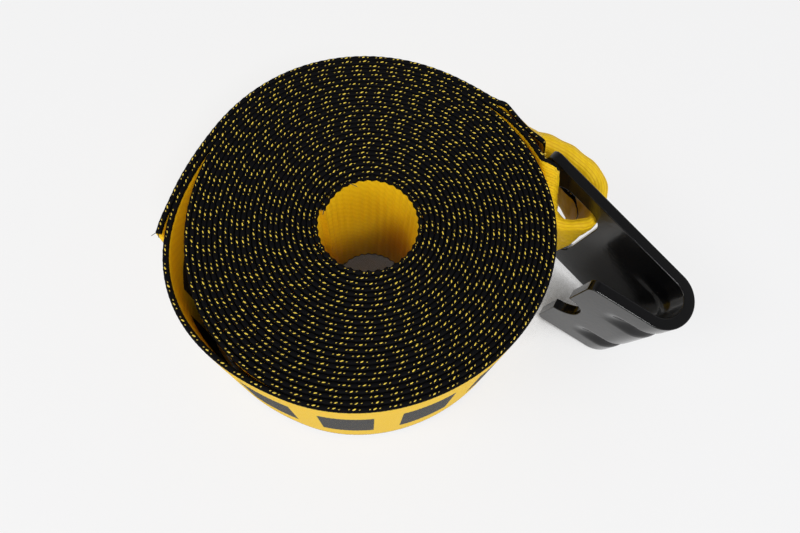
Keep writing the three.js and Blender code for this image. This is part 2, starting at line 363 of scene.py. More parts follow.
def named(tree, name, kind="FLOAT"):
    """Reads a measure that the points carry."""
    node = add_node(tree, "GeometryNodeInputNamedAttribute", data_type=kind)
    node.inputs["Name"].default_value = name
    return node.outputs["Attribute"]


def finish_tree(tree, geometry, material, result):
    """Ends a tree with real geometry that wears the material."""
    real = add_node(tree, "GeometryNodeRealizeInstances", {"Geometry": geometry})
    feeds = {"Geometry": real.outputs["Geometry"], "Material": material}
    finish = add_node(tree, "GeometryNodeSetMaterial", feeds)
    feed(tree, result.inputs["Geometry"], finish.outputs["Geometry"])


def build_sweep_tree():
    """Sweeps an upright rounded band along a line of points."""
    wanted = [("Width", "NodeSocketFloat"), ("Thickness", "NodeSocketFloat")]
    wanted += [("Edge Radius", "NodeSocketFloat"), ("Material", "NodeSocketMaterial")]
    tree, entry, result = geometry_tree("webbing_sweep", wanted)
    get = entry.outputs

    def step(kind, feeds, **settings):
        return add_node(tree, kind, feeds, **settings).outputs[0]

    path = step("GeometryNodeMeshToCurve", {"Mesh": get["Geometry"]})
    upright = step("GeometryNodeSetCurveNormal", {"Curve": path}, mode="Z_UP")
    sides = {"Width": get["Thickness"], "Height": get["Width"]}
    oblong = step("GeometryNodeCurvePrimitiveQuadrilateral", sides, mode="RECTANGLE")
    corners = {"Count": 2, "Curve": oblong, "Radius": get["Edge Radius"]}
    rounded = step("GeometryNodeFilletCurve", corners, mode="POLY")
    rails = {"Fill Caps": True, "Curve": upright, "Profile Curve": rounded}
    sweep = step("GeometryNodeCurveToMesh", rails)
    split = add_node(tree, "ShaderNodeSeparateXYZ", {0: step("GeometryNodeInputPosition", {})})
    middle = math_node(tree, "MULTIPLY", get["Width"], 0.5)
    is_top = math_node(tree, "GREATER_THAN", split.outputs["Z"], middle)
    is_bottom = math_node(tree, "SUBTRACT", 1.0, is_top)
    top = math_node(tree, "MULTIPLY", is_top, named(tree, "rise"))
    lift = math_node(tree, "MULTIPLY_ADD", is_bottom, named(tree, "fall"), top)
    lifted = step("ShaderNodeCombineXYZ", {"Z": lift})
    normal = step("GeometryNodeInputNormal", {})
    swell = {0: normal, "Scale": named(tree, "swell")}
    swollen = step("ShaderNodeVectorMath", swell, operation="SCALE")
    offset = step("ShaderNodeVectorMath", {0: lifted, 1: swollen}, operation="ADD")
    moved = step("GeometryNodeSetPosition", {"Geometry": sweep, "Offset": offset})
    across = step("ShaderNodeCombineXYZ", {"X": named(tree, "along"), "Y": split.outputs["Z"]})
    weave = {"Name": "weave", "Geometry": moved, "Value": across}
    kept = {"data_type": "FLOAT2", "domain": "CORNER"}
    store = step("GeometryNodeStoreNamedAttribute", weave, **kept)
    soft = step("GeometryNodeSetShadeSmooth", {"Geometry": store})
    finish_tree(tree, soft, get["Material"], result)
    return tree


sweep_tree = build_sweep_tree()
print("sweep tree has", len(sweep_tree.nodes), "nodes")

# %% [markdown]
# The webbing's finish reads its own map: the distance along the webbing and the height across
# it. Polyester webbing of this kind has thick warp yarns that run along it, pressed into low
# ribs by the weft. A shader group turns the map into the yarns' height, the depth of the seams
# between them, which sets painted shade there, and a mask of the black selvage, and both the
# turns and the flat faces use it.

# %% Shader group of the weave
yarn_roundness = 0.55
twill_step = 0.25
weft_press = 0.2
seam_sharpness = 1.6


def shader_group(name, inputs, outputs):
    """An empty shader node group with these inputs and outputs, all of them numbers."""
    tree = bpy.data.node_groups.new(name, "ShaderNodeTree")
    for label in inputs:
        tree.interface.new_socket(label, in_out="INPUT", socket_type="NodeSocketFloat")
    for label in outputs:
        tree.interface.new_socket(label, in_out="OUTPUT", socket_type="NodeSocketFloat")
    return tree, tree.nodes.new("NodeGroupInput"), tree.nodes.new("NodeGroupOutput")


def build_weave_group():
    wanted = ["Along", "Across", "Yarn Pitch", "Rib Pitch", "Web Width", "Selvage"]
    tree, entry, result = shader_group("webbing_weave", wanted, ["Height", "Seam", "Edge"])
    get = entry.outputs
    yarns = math_node(tree, "DIVIDE", get["Across"], get["Yarn Pitch"])
    number = math_node(tree, "FLOOR", yarns)
    part = math_node(tree, "FRACT", yarns)
    arch = math_node(tree, "SINE", math_node(tree, "MULTIPLY", part, math.pi))
    crown = math_node(tree, "POWER", math_node(tree, "MAXIMUM", arch, 0.0), yarn_roundness)
    shift = math_node(tree, "MULTIPLY", number, twill_step)
    ribs = math_node(tree, "DIVIDE", get["Along"], get["Rib Pitch"])
    ribs = math_node(tree, "ADD", ribs, shift)
    wave = math_node(tree, "COSINE", math_node(tree, "MULTIPLY", ribs, 2 * math.pi))
    press = math_node(tree, "MULTIPLY_ADD", wave, weft_press, 1.0 - weft_press)
    height = math_node(tree, "MULTIPLY", crown, press)
    seam = math_node(tree, "SUBTRACT", 1.0, height)
    lower = math_node(tree, "LESS_THAN", get["Across"], get["Selvage"])
    inner = math_node(tree, "SUBTRACT", get["Web Width"], get["Selvage"])
    upper = math_node(tree, "GREATER_THAN", get["Across"], inner)
    edge = math_node(tree, "MAXIMUM", lower, upper)
    feed(tree, result.inputs["Height"], height)
    feed(tree, result.inputs["Seam"], math_node(tree, "POWER", seam, seam_sharpness))
    feed(tree, result.inputs["Edge"], edge)
    return tree


weave_group = build_weave_group()
print("weave group has", len(weave_group.nodes), "nodes")

# %% [markdown]
# A second group adds the faint unevenness that dyed cloth and sprayed paint both show: broad
# soft patches and a fine grain, from two noise textures on the object's own coordinates.

# %% Shader group of patches and grain


def build_grain_group():
    wanted = ["Patch Scale", "Grain Scale"]
    tree, entry, result = shader_group("patches_and_grain", wanted, ["Patches", "Grain"])
    place = add_node(tree, "ShaderNodeTexCoord")
    for label, size, detail in (("Patches", "Patch Scale", 3.0), ("Grain", "Grain Scale", 2.0)):
        feeds = {"Vector": place.outputs["Object"], "Scale": entry.outputs[size]}
        noise = add_node(tree, "ShaderNodeTexNoise", {"Detail": detail, **feeds})
        feed(tree, result.inputs[label], noise.outputs["Fac"])
    return tree


grain_group = build_grain_group()
print("grain group has", len(grain_group.nodes), "nodes")

# %% [markdown]
# The webbing's material mixes dyed yellow with the black selvage. The yellow is painted a
# darker orange between its yarns as painted shade in the seams, and the plain printed bars
# stand where a strap of this kind carries its marking. Bars are used because they say
# nothing and suit any strap.

# %% Webbing material
yarn_pitch = 1.27
selvage_width = 2.0
mark_pitch, mark_length, mark_low, mark_high = 38.0, 25.0, 26.0, 76.0
mark_from, mark_to = 7400.0, 8150.0
yellow = (0.88, 0.58, 0.004, 1.0)
# The darker orange of the seams between the yarns is painted shade.
yellow_seam_shade = (0.66, 0.34, 0.002, 1.0)
black_yarn = (0.003, 0.003, 0.0035, 1.0)
yellow_faded = (0.84, 0.52, 0.01, 1.0)
ink = (0.012, 0.012, 0.012, 1.0)
fading = 0.35
ink_wander, ink_missed = 0.0012, 1.45


def group_node(tree, group, **values):
    """Uses a shader group, with its inputs written with underscores."""
    feeds = {name.replace("_", " "): value for name, value in values.items()}
    return add_node(tree, "ShaderNodeGroup", feeds, node_tree=group).outputs


def blend_colour(tree, factor, first, second):
    """Mixes two colours. The node's colour sockets are the sixth, the seventh and output two."""
    feeds = {0: factor, 6: first, 7: second}
    return add_node(tree, "ShaderNodeMix", feeds, data_type="RGBA").outputs[2]


def bump(tree, height, strength, distance):
    """A normal that follows small heights."""
    feeds = {"Strength": strength, "Distance": distance, "Height": height}
    return add_node(tree, "ShaderNodeBump", feeds).outputs["Normal"]


def new_material(name):
    material = bpy.data.materials.new(name)
    material.use_nodes = True
    return material, material.node_tree


def wear(material, finish):
    """Feeds the named inputs of the material's shader with sockets or plain values."""
    tree = material.node_tree
    for name, value in finish.items():
        feed(tree, tree.nodes["Principled BSDF"].inputs[name], value)
    return material


def between(tree, value, low, high):
    """1 where low < value < high, and 0 elsewhere."""
    above = math_node(tree, "GREATER_THAN", value, low)
    return math_node(tree, "MULTIPLY", above, math_node(tree, "LESS_THAN", value, high))


def plain_marks(tree, along, across, fine, seam):
    """A mask of the printed bars, thin where the ink missed the seams between the yarns."""
    wander = math_node(tree, "MULTIPLY_ADD", fine, ink_wander, -ink_wander / 2)
    moved = math_node(tree, "ADD", along, wander)
    share = math_node(tree, "FRACT", math_node(tree, "DIVIDE", moved, mark_pitch * MM))
    in_row = math_node(tree, "LESS_THAN", share, mark_length / mark_pitch)
    height = math_node(tree, "ADD", across, wander)
    in_height = between(tree, height, mark_low * MM, mark_high * MM)
    outside = between(tree, along, mark_from * MM, mark_to * MM)
    mark = math_node(tree, "MULTIPLY", math_node(tree, "MULTIPLY", in_row, in_height), outside)
    thin = math_node(tree, "GREATER_THAN", math_node(tree, "ADD", fine, seam), ink_missed)
    return math_node(tree, "MULTIPLY", mark, math_node(tree, "SUBTRACT", 1.0, thin))


def build_webbing_material():
    material, tree = new_material("woven_webbing")
    uv = add_node(tree, "ShaderNodeUVMap", uv_map="weave")
    split = add_node(tree, "ShaderNodeSeparateXYZ", {0: uv.outputs["UV"]})
    along, across = split.outputs["X"], split.outputs["Y"]
    weave = group_node(
        tree, weave_group, Along=along, Across=across, Yarn_Pitch=yarn_pitch * MM,
        Rib_Pitch=rib_pitch * MM, Web_Width=web_width * MM, Selvage=selvage_width * MM,
    )
    grain = group_node(tree, grain_group, Patch_Scale=38.0, Grain_Scale=2600.0)
    fine = grain["Grain"]
    # Painted shade: the yellow turns darker orange in the seams between the yarns.
    cloth = blend_colour(tree, weave["Seam"], yellow, yellow_seam_shade)
    faded = math_node(tree, "MULTIPLY", grain["Patches"], fading)
    cloth = blend_colour(tree, faded, cloth, yellow_faded)
    mark = plain_marks(tree, along, across, fine, weave["Seam"])
    cloth = blend_colour(tree, mark, cloth, ink)
    fuzz = math_node(tree, "MULTIPLY_ADD", fine, 0.35, weave["Height"])
    return wear(material, {
        "Base Color": blend_colour(tree, weave["Edge"], cloth, black_yarn),
        "Roughness": math_node(tree, "MULTIPLY_ADD", fine, 0.2, 0.5),
        "Specular IOR Level": math_node(tree, "MULTIPLY_ADD", weave["Edge"], -0.22, 0.26),
        "Normal": bump(tree, fuzz, 0.9, 0.00022),
    })


webbing_material = build_webbing_material()
print("webbing material has", len(webbing_material.node_tree.nodes), "nodes")

# %% [markdown]
# Now the turns themselves. The line of points carries three measures for the tree: the
# distance along the webbing, in metres, and the lift of the top and the bottom edge.

# %% Wound turns
wound_thickness = 2.37
edge_radius = 1.05


def path_object(name, points, **measures):
    """A line of points whose measures Geometry Nodes can read."""
    edges = [(i, i + 1) for i in range(len(points) - 1)]
    line = mesh_object(name, points, [], edges)
    for label, values in measures.items():
        carry(line, label, values)
    return line


def wound_line():
    height = np.full((len(wound_path), 1), web_width / 2)
    points = to_row(np.hstack([wound_path, height]))
    return path_object(
        "wound_line", points, along=wound_along * MM,
        rise=top_rise(wound_along) * MM, fall=bottom_rise(wound_along) * MM,
        swell=face_swell(wound_along) * MM,
    )


turns_source = wound_line()
sweep = turns_source.modifiers.new("sweep", "NODES")
sweep.node_group = sweep_tree
set_input(sweep, "Width", web_width * MM)
set_input(sweep, "Thickness", wound_thickness * MM)
set_input(sweep, "Edge Radius", edge_radius * MM)
set_input(sweep, "Material", webbing_material)
wound_roll = plain_mesh(turns_source, "wound_turns")
print("wound turns reach", [round(x, 4) for x in wound_roll.dimensions])

# %% [markdown]
# The last turn is not part of that sweep, because it changes on its way. It stands loose on
# the left, leaves the roll at the back, folds its two edges in to pass the hook's slot, goes
# round the bar and comes back over itself as the sewn overlap. So it is lofted in code, one
# section after the other. A section is bent at two fold lines: the middle stays flat and the
# two flaps turn towards the bar.

# %% Path of the last turn, the eye and the overlap
eye_reach = 17.4
eye_half_width = 15.0
eye_edge_clearance = 4.0
eye_seat_gap = 0.5
inner_pull, outer_pull, landing_pull = 0.4, 0.6, 0.34
fold_start, fold_length = 11.0, 24.0
crease_start, unfold_end = 0.42, 0.92
open_start, open_end = 0.27, 0.47
fold_angle, open_angle = math.radians(177.0), math.radians(38.0)
overlap_air = 0.02
end_splay, splay_length = 1.6, 14.0


def hook_plan(u, w):
    """A point of the hook's frame at the middle of the bar, seen from above."""
    along = u * math.cos(hook_droop) + middle_height * math.sin(hook_droop)
    return hook_foot + along * along_plate + w * out_of_plate


def bezier(a, b, c, d, count):
    """Points of a cubic curve, without its first point."""
    t = np.linspace(0, 1, count + 1)[1:, None]
    return a * (1 - t) ** 3 + 3 * b * t * (1 - t) ** 2 + 3 * c * t * t * (1 - t) + d * t ** 3


def run_leg(start, start_way, start_pull, finish, finish_way, finish_pull):
    """A smooth stretch between two places, each end running straight for its pull."""
    span = np.linalg.norm(finish - start)
    first = start + start_way * start_pull * span
    second = finish - finish_way * finish_pull * span
    return bezier(start, first, second, finish, int(span))


def unit(v):
    """The same direction, one long."""
    return v / np.linalg.norm(v)


def eye_turn():
    """The eye's half turn. Its outside rests in the far round corners of the slot."""
    rest = slot_corner - eye_edge_clearance
    corner_inset = slot_corner - math.sqrt(slot_corner ** 2 - rest ** 2)
    centre_u = slot_end - corner_inset - eye_seat_gap - web_thickness - eye_reach
    angles = np.linspace(-math.pi / 2, math.pi / 2, 28)
    places = [(eye_reach * math.cos(a), eye_half_width * math.sin(a)) for a in angles]
    return np.array([hook_plan(centre_u + u, bar_w + w) for u, w in places])


def outer_path():
    """Centre line of the outer webbing from above, how far it is folded, and its flaps' angle."""
    turned = np.arange(0.0, leave_to, 2.0)
    wrap = on_roll(turned, wrap_radius(turned) - web_thickness / 2)
    turn = eye_turn()
    back_turned = np.arange(overlap_from, overlap_to, -2.0)
    splay = end_splay * smooth(1 - (back_turned - overlap_to) / splay_length)
    outside = wrap_radius(back_turned) + web_thickness / 2 + overlap_air
    tail = on_roll(back_turned, outside + splay)
    leaving, landing = unit(wrap[-1] - wrap[-2]), unit(tail[1] - tail[0])
    inner = run_leg(wrap[-1], leaving, inner_pull, turn[0], along_plate, inner_pull)
    outer = run_leg(turn[-1], -along_plate, outer_pull, tail[0], landing, landing_pull)
    entry = np.vstack([wrap[-1:], inner, turn[1:]])
    folding = smooth((lengths_along(entry)[1:] - fold_start) / fold_length)
    share = np.linspace(0, 1, len(outer))
    unfolding = smooth((share - crease_start) / (unfold_end - crease_start))
    opening = smooth((share - open_start) / (open_end - open_start))
    folds = [np.zeros(len(wrap)), folding, 1 - unfolding, np.zeros(len(tail) - 1)]
    before = np.full(len(wrap) + len(folding), fold_angle)
    after = np.full(len(tail) - 1, open_angle)
    bent = [before, fold_angle + (open_angle - fold_angle) * opening, after]
    points = np.vstack([wrap, inner, turn[1:], outer, tail[1:]])
    return points, np.concatenate(folds), np.concatenate(bent)


outer_points, outer_fold, outer_bend = outer_path()
raw_length = lengths_along(outer_points)
outer_length = raw_length[-1]
outer_count = int(outer_length / step_length)
outer_along = np.linspace(0.0, outer_length, outer_count + 1)
outer_xy = resampled(outer_along, raw_length, outer_points)
outer_folded = np.interp(outer_along, raw_length, outer_fold)
outer_bent = np.interp(outer_along, raw_length, outer_bend)
print("outer webbing is", round(outer_length, 1), "mm long in", outer_count, "steps")

# %% [markdown]
# Each section starts as a flat strip, 101.6 mm tall. To pass the slot, its two edges are
# folded in like the corners of a parcel: the fold lines run slantwise from the edges to the
# middle, so a flap only grows wider and never stands out. The section is a closed loop, up
# one face, round the top edge, down the other face and round the bottom edge.

# %% Sections of the outer webbing
face_steps = 30
folded_half = 24.8
tight_fold = 1.4
crumple_height = 0.55
puffed_fold = 3.5
puff_from, puff_over = 0.35, 0.6
crumples = ((0.42, 0.21), (-0.17, 0.33))
rib_depth_on_web = 0.07


def bend_across(q, fold, radius, bent):
    """Where a point at q across the strip goes: its height, its place inwards, its angle."""
    side = 1.0 if q >= 0 else -1.0
    far = abs(q)
    panel = folded_half - radius - web_thickness / 2
    start = web_width / 2 + (panel - web_width / 2) * fold
    arc = radius * bent
    if far <= start or fold <= 0.0:
        return q, 0.0, 0.0
    if far <= start + arc:
        a = (far - start) / radius
        return side * (start + radius * math.sin(a)), radius * (1 - math.cos(a)), side * a
    rest = far - start - arc
    up = start + radius * math.sin(bent) + rest * math.cos(bent)
    inward = radius * (1 - math.cos(bent)) + rest * math.sin(bent)
    return side * up, inward, side * bent


def strip_outline():
    """The strip's cross section as pairs: place across, and offset through the thickness."""
    reach = web_width / 2 - edge_radius
    half = web_thickness / 2
    up = [(q, -half) for q in np.linspace(-reach, reach, face_steps)]
    top = []
    for a in (-50, 0, 50):
        turned = math.radians(a)
        top.append((reach + edge_radius * math.cos(turned), edge_radius * math.sin(turned)))
    down = [(q, half) for q in np.linspace(reach, -reach, face_steps)]
    bottom = [(-q, side) for q, side in reversed(top)]
    return up + top + down + bottom


class Station:
    """One section of the outer webbing: its place, its directions and how far it is folded."""

    def __init__(self, index):
        self.along = outer_along[index]
        point = outer_xy[index]
        before = outer_xy[max(index - 1, 0)]
        after = outer_xy[min(index + 1, outer_count)]
        way = unit(after - before)
        self.fold = float(outer_folded[index])
        self.bent = float(outer_bent[index])
        self.way = np.array((way[0], way[1], 0.0))
        self.left = np.array((-way[1], way[0], 0.0))
        lean = np.array((*(along_plate * math.sin(hook_droop)), math.cos(hook_droop)))
        self.up = unit((1 - self.fold) * np.array((0.0, 0.0, 1.0)) + self.fold * lean)
        reach = float((point - hook_foot) @ along_plate)
        cos, sin = math.cos(hook_droop), math.sin(hook_droop)
        u = (reach - middle_height * sin) / cos
        folded_centre = hook_lift + middle_height * cos - u * sin
        height = (1 - self.fold) * web_width / 2 + self.fold * folded_centre
        from_turn = abs(self.along - turn_middle) / (eye_reach * math.pi / 2)
        puff = float(smooth((from_turn - puff_from) / puff_over))
        self.radius = tight_fold + (puffed_fold - tight_fold) * puff
        shift = (2 * self.radius - web_thickness / 2) * self.fold ** 2
        self.centre = np.array((point[0], point[1], height)) - self.left * shift

    def place(self, q, through, ribbed=0.0):
        """Point of the section at q across the strip and this far through its thickness."""
        ribs = ribbed * float(ribs_along(self.along + wound_length))
        up, inward, angle = bend_across(q, self.fold, self.radius, self.bent)
        waves = math.prod(math.sin(a * q + b * self.along) for a, b in crumples)
        off = through + math.copysign(ribs, through) + crumple_height * self.fold * waves
        up += -math.sin(angle) * off
        inward += math.cos(angle) * off
        return self.centre + self.up * up + self.left * inward

    def edge_way(self, q):
        """The way that the strip runs at its edge, away from its middle."""
        angle = bend_across(q, self.fold, self.radius, self.bent)[2]
        side = math.copysign(1.0, q)
        return side * self.up * math.cos(angle) + side * self.left * math.sin(angle)


turn_place = hook_plan(slot_end - web_thickness, bar_w)
turn_middle = outer_along[int(np.argmin(np.linalg.norm(outer_xy - turn_place, axis=1)))]
stations = [Station(i) for i in range(outer_count + 1)]
outline = strip_outline()
print("each section has", len(outline), "points")

# %% [markdown]
# The sections are now joined, each point to the same point of the next section, and both ends
# are closed. A loft like this keeps the map of the weave simple: the distance along the
# webbing one way and the height across the strip the other way, also inside the folds.

# %% Outer webbing
lifted_share = 0.2


def ring_faces(rings, ring):
    """Faces that join rings of points one after the other, and close both ends."""
    faces = []
    for a in range(0, (rings - 1) * ring, ring):
        b = a + ring
        for j in range(ring):
            k = (j + 1) % ring
            faces.append((a + j, b + j, b + k, a + k))
    faces.append(tuple(range(ring)))
    faces.append(tuple((rings - 1) * ring + j for j in reversed(range(ring))))
    return faces


def loft_outer():
    """The outer webbing as one closed mesh, with the weave's map on its faces."""
    reach = web_width / 2 - edge_radius
    points = []
    for station in stations:
        total = station.along + wound_length
        rise, fall = float(top_rise(total)), float(bottom_rise(total))
        for q, through in outline:
            share = max(0.0, abs(q) - (1 - lifted_share) * reach) / (lifted_share * reach)
            lifted = q + min(1.0, share) * (rise if q > 0 else fall)
            points.append(station.place(lifted, through, rib_depth_on_web))
    ring = len(outline)
    faces = ring_faces(len(stations), ring)
    web = mesh_object("outer_turn_and_eye", to_row(points), faces)
    uv = web.data.uv_layers.new(name="weave")
    along = np.array([(s.along + wound_length) * MM for s in stations])
    across = np.array([(q + web_width / 2) * MM for q, _ in outline])
    corners = np.empty(len(web.data.loops), int)
    web.data.loops.foreach_get("vertex_index", corners)
    places = np.stack([along[corners // ring], across[corners % ring]], -1)
    uv.data.foreach_set("uv", places.ravel())
    web.data.materials.append(webbing_material)
    web.data.shade_smooth()
    return web


def point_outwards(built):
    """Turns the faces of a closed mesh so that they all point out."""
    shape = bmesh.new()
    shape.from_mesh(built.data)
    bmesh.ops.recalc_face_normals(shape, faces=shape.faces)
    if shape.calc_volume(signed=True) < 0:
        bmesh.ops.reverse_faces(shape, faces=shape.faces)
    shape.to_mesh(built.data)
    shape.free()


outer_web = loft_outer()
point_outwards(outer_web)
print("outer webbing has", len(outer_web.data.polygons), "faces")

# %% [markdown]
# Along both black edges, yellow yarns come up between the black ones: a long float with a
# short one on each side, then a gap, over and over for more than eight metres. That is
# thousands of small shapes on a path, so a Geometry Nodes tree puts a small bead at each
# point. The points carry how each bead is turned, how large it is and how bright.

# %% Geometry Nodes tree for small repeated shapes


def build_beads_tree():
    """Puts a bead on every point, turned and sized by what the point carries."""
    wanted = [("Segments", "NodeSocketInt"), ("Rings", "NodeSocketInt")]
    wanted += [("Material", "NodeSocketMaterial")]
    tree, entry, result = geometry_tree("beads_on_points", wanted)
    get = entry.outputs
    sphere = {"Radius": 1.0, "Segments": get["Segments"], "Rings": get["Rings"]}
    bead = add_node(tree, "GeometryNodeMeshUVSphere", sphere)
    soft = add_node(tree, "GeometryNodeSetShadeSmooth", {"Geometry": bead.outputs["Mesh"]})
    turn = add_node(tree, "FunctionNodeEulerToRotation", {0: named(tree, "turn", "FLOAT_VECTOR")})
    placed = {
        "Points": get["Geometry"], "Instance": soft.outputs["Geometry"],
        "Rotation": turn.outputs[0], "Scale": named(tree, "size", "FLOAT_VECTOR"),
    }
    place = add_node(tree, "GeometryNodeInstanceOnPoints", placed)
    finish_tree(tree, place.outputs["Instances"], get["Material"], result)
    return tree


beads_tree = build_beads_tree()


def turned_by(way, up):
    """Euler angles of a frame whose X runs along way and whose Z is nearest to up."""
    x = Vector(way).normalized()
    y = Vector(up).cross(x).normalized()
    z = x.cross(y)
    return Matrix((x, y, z)).transposed().to_euler()


def beads(name, places, material, segments, rings):
    """One mesh of beads. Each place is (point in mm, way, up, size in mm, tone and painted
    shade).
    """
    cloud = mesh_object(name, to_row([p[0] for p in places]), [])
    carry(cloud, "turn", [turned_by(p[1], p[2]) for p in places])
    carry(cloud, "size", np.array([p[3] for p in places]) * MM)
    carry(cloud, "tone_and_shade", [p[4] for p in places])
    modifier = cloud.modifiers.new("beads", "NODES")
    modifier.node_group = beads_tree
    set_input(modifier, "Segments", segments)
    set_input(modifier, "Rings", rings)
    set_input(modifier, "Material", material)
    return plain_mesh(cloud, name)


print("beads tree has", len(beads_tree.nodes), "nodes")

# %% [markdown]
# The floats share one dyed yellow, but the short ones sink between the black yarns, so they
# are given a duller colour as painted shade. Each bead carries its own tone with that painted
# shade, and the material mixes two colours by it.

# %% Material of the yellow floats
# The dull colour is painted shade on the short floats, which sink between the black yarns.
float_sunk_shade, float_bright = (0.20, 0.14, 0.02, 1.0), (0.86, 0.64, 0.06, 1.0)
float_shade = (0.60, 0.36, 0.02, 1.0)


def build_float_material():
    material, tree = new_material("yellow_floats")
    tone_and_shade = add_node(tree, "ShaderNodeAttribute", attribute_name="tone_and_shade")
    grain = group_node(tree, grain_group, Patch_Scale=60.0, Grain_Scale=5200.0)["Grain"]
    colour = blend_colour(tree, tone_and_shade.outputs["Fac"], float_sunk_shade, float_bright)
    shade = math_node(tree, "MULTIPLY", grain, 0.35)
    return wear(material, {
        "Base Color": blend_colour(tree, shade, colour, float_shade),
        "Roughness": math_node(tree, "MULTIPLY_ADD", grain, 0.25, 0.3),
        "Normal": bump(tree, grain, 0.5, 0.0001),
    })


float_material = build_float_material()
print("float material ready")

# %% [markdown]
# A float is set at every pick of the weft that shows one: a long one, then a gap with a short
# one on each side of it. Each is a little off in size, slant, place and tone, from one fixed
# seed, because a hand-wound roll shows no two floats alike.

# %% Yellow floats along the edges
float_kinds = {0: "long", 1: "short", 3: "short"}
float_sizes = {"long": (0.84, 0.29, 0.24), "short": (0.50, 0.24, 0.18)}
# The short floats' darker tones are painted shade, where they sink between the black yarns.
float_tones_and_shade = {"long": (0.8, 1.0), "short": (0.15, 0.6)}
float_spread = (0.88, 1.12)
float_slant = math.radians(20.0)
slant_spread = (0.6, 1.4)
aside_play, along_play = 0.12, 0.15
float_sink = 0.05
draw = np.random.default_rng(7)


def float_picks(start, finish):
    """The picks between two distances that show a float: the distance and the kind."""
    for number in range(int(start / pick_pitch) + 1, int(finish / pick_pitch)):
        kind = float_kinds.get(number % 4)
        if kind is not None:
            yield number * pick_pitch, kind


def add_float(places, kind, point, way, up):
    """Appends one float, slanted across the edge, with a little unevenness."""
    size = np.array(float_sizes[kind]) * draw.uniform(*float_spread)
    tone_and_shade = draw.uniform(*float_tones_and_shade[kind])
    aside = np.cross(up, way)
    slant = float_slant * draw.uniform(*slant_spread) * (1 if up[2] > 0 else -1)
    turned = way * math.cos(slant) + aside * math.sin(slant)
    moved = point + aside * draw.uniform(-aside_play, aside_play)
    moved = moved + way * draw.uniform(-along_play, along_play)
    places.append((moved - up * float_sink, turned, up, size, tone_and_shade))


def wound_floats(top):
    """Floats of the wound turns, on their top or their bottom edge."""
    places = []
    ways = np.gradient(wound_path, axis=0)
    up = np.array((0.0, 0.0, 1.0 if top else -1.0))
    for along, kind in float_picks(0.0, wound_length):
        xy = resampled(along, wound_along, wound_path)
        way = unit(np.array((*resampled(along, wound_along, ways), 0.0)))
        height = web_width + float(top_rise(along)) if top else float(bottom_rise(along))
        add_float(places, kind, np.array((*xy, height)), -way, up)
    return places


def outer_floats(top):
    """Floats of the outer webbing, which follow its edges through the folds."""
    places = []
    edge = web_width / 2 if top else -web_width / 2
    for along, kind in float_picks(wound_length, wound_length + outer_length):
        station = stations[int(round((along - wound_length) / step_length))]
        total = station.along + wound_length
        lifted = edge + float(top_rise(total) if top else bottom_rise(total))
        way, up = -station.way, station.edge_way(lifted)
        add_float(places, kind, station.place(lifted, 0.0), way, up)
    return places


top_floats = beads("selvage_floats_top", wound_floats(True), float_material, 8, 4)
bottom_floats = beads("selvage_floats_bottom", wound_floats(False), float_material, 6, 3)
rim_places = outer_floats(True) + outer_floats(False)
outer_rim_floats = beads("selvage_floats_outer", rim_places, float_material, 8, 5)

# %% [markdown]
# The overlap is sewn down with a heavy thread. The machine sews a box and two crossing lines,
# which spread the pull over the whole width. Each stitch is a bead again, stretched along the
# seam and half sunk in the web.

# %% Stitching of the overlap
stitch_length = 4.2
stitch_size = (1.75, 0.36, 0.30)
seam_from_end = 9.0
box_length = 62.0
box_half_height = 41.0
box_count = 2
box_gap = 6.0
thread_dark, thread_light = (0.012, 0.012, 0.013, 1.0), (0.04, 0.04, 0.045, 1.0)


def build_thread_material():
    material, tree = new_material("sewing_thread")
    grain = group_node(tree, grain_group, Patch_Scale=60.0, Grain_Scale=6000.0)["Grain"]
    return wear(material, {
        "Base Color": blend_colour(tree, grain, thread_dark, thread_light),
        "Roughness": 0.55,
        "Normal": bump(tree, grain, 0.6, 0.0001),
    })


thread_material = build_thread_material()


def seam_lines():
    """The sewn lines as pairs of ends, each end as (distance from the cut end, height)."""
    lines = []
    for box in range(box_count):
        near = seam_from_end + box * (box_length + box_gap)
        far = near + box_length
        a, b = (near, -box_half_height), (near, box_half_height)
        c, d = (far, -box_half_height), (far, box_half_height)
        lines += [(a, b), (c, d), (a, c), (b, d), (a, d), (b, c)]
    return lines


def stitch_places():
    """A bead for each stitch, on the outer face of the overlap."""
    places = []
    for start, end in seam_lines():
        start, end = np.array(start), np.array(end)
        count = max(1, int(np.linalg.norm(end - start) / stitch_length))
        slope = unit(end - start)
        for i in range(count):
            back, height = start + (end - start) * (i + 0.5) / count
            station = stations[int(round((outer_length - back) / step_length))]
            way = -station.way * slope[0] + station.up * slope[1]
            point = station.place(height, -web_thickness / 2)
            places.append((point, way, -station.left, stitch_size, 1.0))
    return places


stitching = beads("overlap_stitching", stitch_places(), thread_material, 8, 5)

# %% [markdown]
# Where the webbing was cut, a few yarns have worked loose. Each is a thin tube along a short
# curve that is given one by one: two at the inner end in the bore, one that lies over the edge,
# and two at the corner of the overlap.

# %% Loose yarns
yarn_radius = 0.16
yarn_sides = 6
yarn_end_share = 0.35


def tube(points, radius):
    """Rings of points round a path, smaller at both of its ends."""
    rings = []
    last = len(points) - 1
    for i, point in enumerate(points):
        way = unit(points[min(i + 1, last)] - points[max(i - 1, 0)])
        side = unit(np.cross(way, (0.3, 0.2, 1.0)))
        other = np.cross(way, side)
        width = radius * (yarn_end_share if i in (0, last) else 1.0)
        for j in range(yarn_sides):
            a = 2 * math.pi * j / yarn_sides
            rings.append(point + width * (math.cos(a) * side + math.sin(a) * other))
    return rings


def curled(start, way, length, sag, swing, count=9):
    """A short loose yarn: straight at first, then falling and turning aside."""
    way = unit(np.array(way, float))
    aside = unit(np.cross(way, (0.0, 0.0, 1.0)) + (1e-6, 0, 0))
    t = np.linspace(0, 1, count)[:, None]
    turned_aside = aside * swing - np.array((0, 0, sag))
    return start + way * length * t + turned_aside * t ** 2


